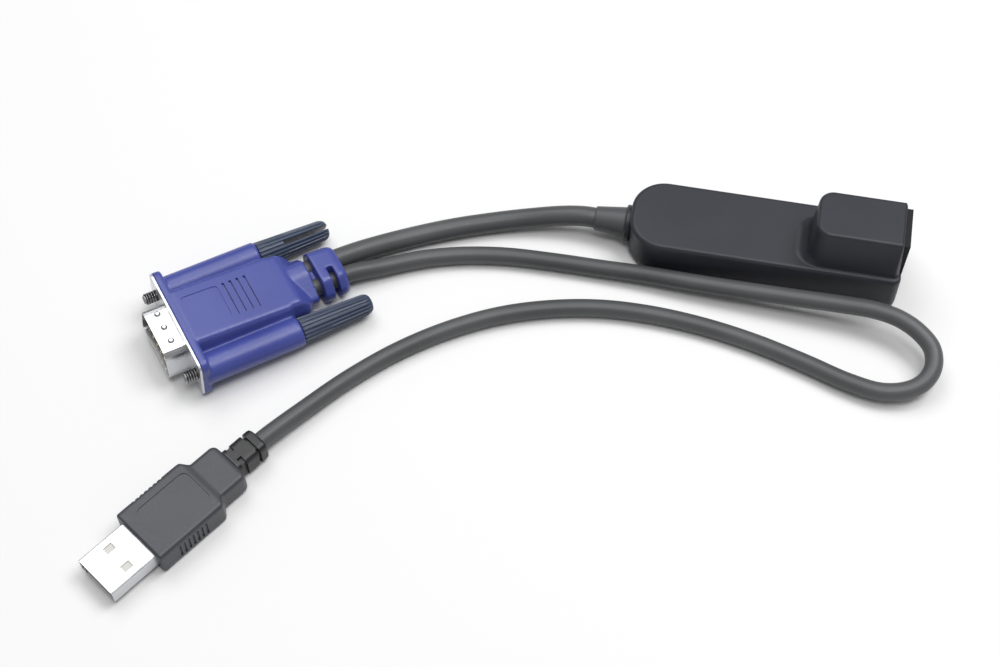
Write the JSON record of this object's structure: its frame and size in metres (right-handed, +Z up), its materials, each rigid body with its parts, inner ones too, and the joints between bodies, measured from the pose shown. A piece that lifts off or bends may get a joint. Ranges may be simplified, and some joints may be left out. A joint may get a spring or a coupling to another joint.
{
  "type": "kvm server interface module",
  "caption": "Grey module with a network jack in its raised end, a video cable to a blue 15-pin plug with thumbscrews and a thin lead to a USB plug.",
  "frame": {"origin": "middle of the footprint of the housing with its sleeve and jack, on the table; the cables and plugs are not counted", "axes": "+X from the cable end to the jack end along the housing, +Z up"},
  "size_m": [0.1943, 0.1309, 0.0246],
  "materials": {
    "housing_grey": "fine moulded texture",
    "steel": "zinc plated",
    "board_green": "solder mask",
    "chip_black": "moulded epoxy",
    "nickel": "nickel plated",
    "ceramic_tan": "fired ceramic",
    "jack_black": "moulded",
    "gold": "gold plated",
    "sleeve_grey": "satin",
    "cable_grey": "satin",
    "white_nylon": "moulded",
    "hood_blue": "satin moulded",
    "insulator_blue": "moulded",
    "clear_mould": "moulded",
    "thumb_slate": "satin moulded",
    "grip_grey": "satin moulded"
  },
  "bodies": {
    "module": {"upper_shell": "housing_grey", "lower_cover": "housing_grey", "cover_screws": "steel", "main_board": "board_green", "jack_board": "board_green", "processor_chip": "chip_black", "isolation_transformer": "chip_black", "video_chips": "chip_black", "board_header": "chip_black", "crystal": "nickel", "small_parts": "ceramic_tan", "jack_housing": "jack_black", "jack_shield": "nickel", "jack_contacts": "gold", "cable_sleeve": "sleeve_grey", "sleeve_collar": "housing_grey", "cable_core": "cable_grey", "cable_connector": "white_nylon", "video_cable": "cable_grey", "vga_hood": "hood_blue", "vga_front_shell": "nickel", "vga_rear_shell": "nickel", "vga_insulator": "insulator_blue", "vga_pins": "gold", "vga_inner_mould": "clear_mould", "vga_cable_cores": "cable_grey", "usb_lead": "cable_grey", "usb_overmould": "grip_grey", "usb_shell": "nickel", "usb_tongue": "white_nylon", "usb_contacts": "gold", "usb_inner_mould": "clear_mould", "usb_cable_core": "cable_grey"},
    "far_screw": {"thumb_grip_far": "thumb_slate", "thumb_screw_far": "steel"},
    "near_screw": {"thumb_grip_near": "thumb_slate", "thumb_screw_near": "steel"}
  },
  "joints": [
    {"name": "far_screw_turn", "type": "hinge", "parent": "module", "child": "far_screw", "pos_m": [-0.1315, -0.03598, 0.00665], "axis": [-0.7763, -0.6264, 0.0698], "continuous": true},
    {"name": "near_screw_turn", "type": "hinge", "parent": "module", "child": "near_screw", "pos_m": [-0.11581, -0.05543, 0.00665], "axis": [-0.7763, -0.6264, 0.0698], "continuous": true}
  ]
}
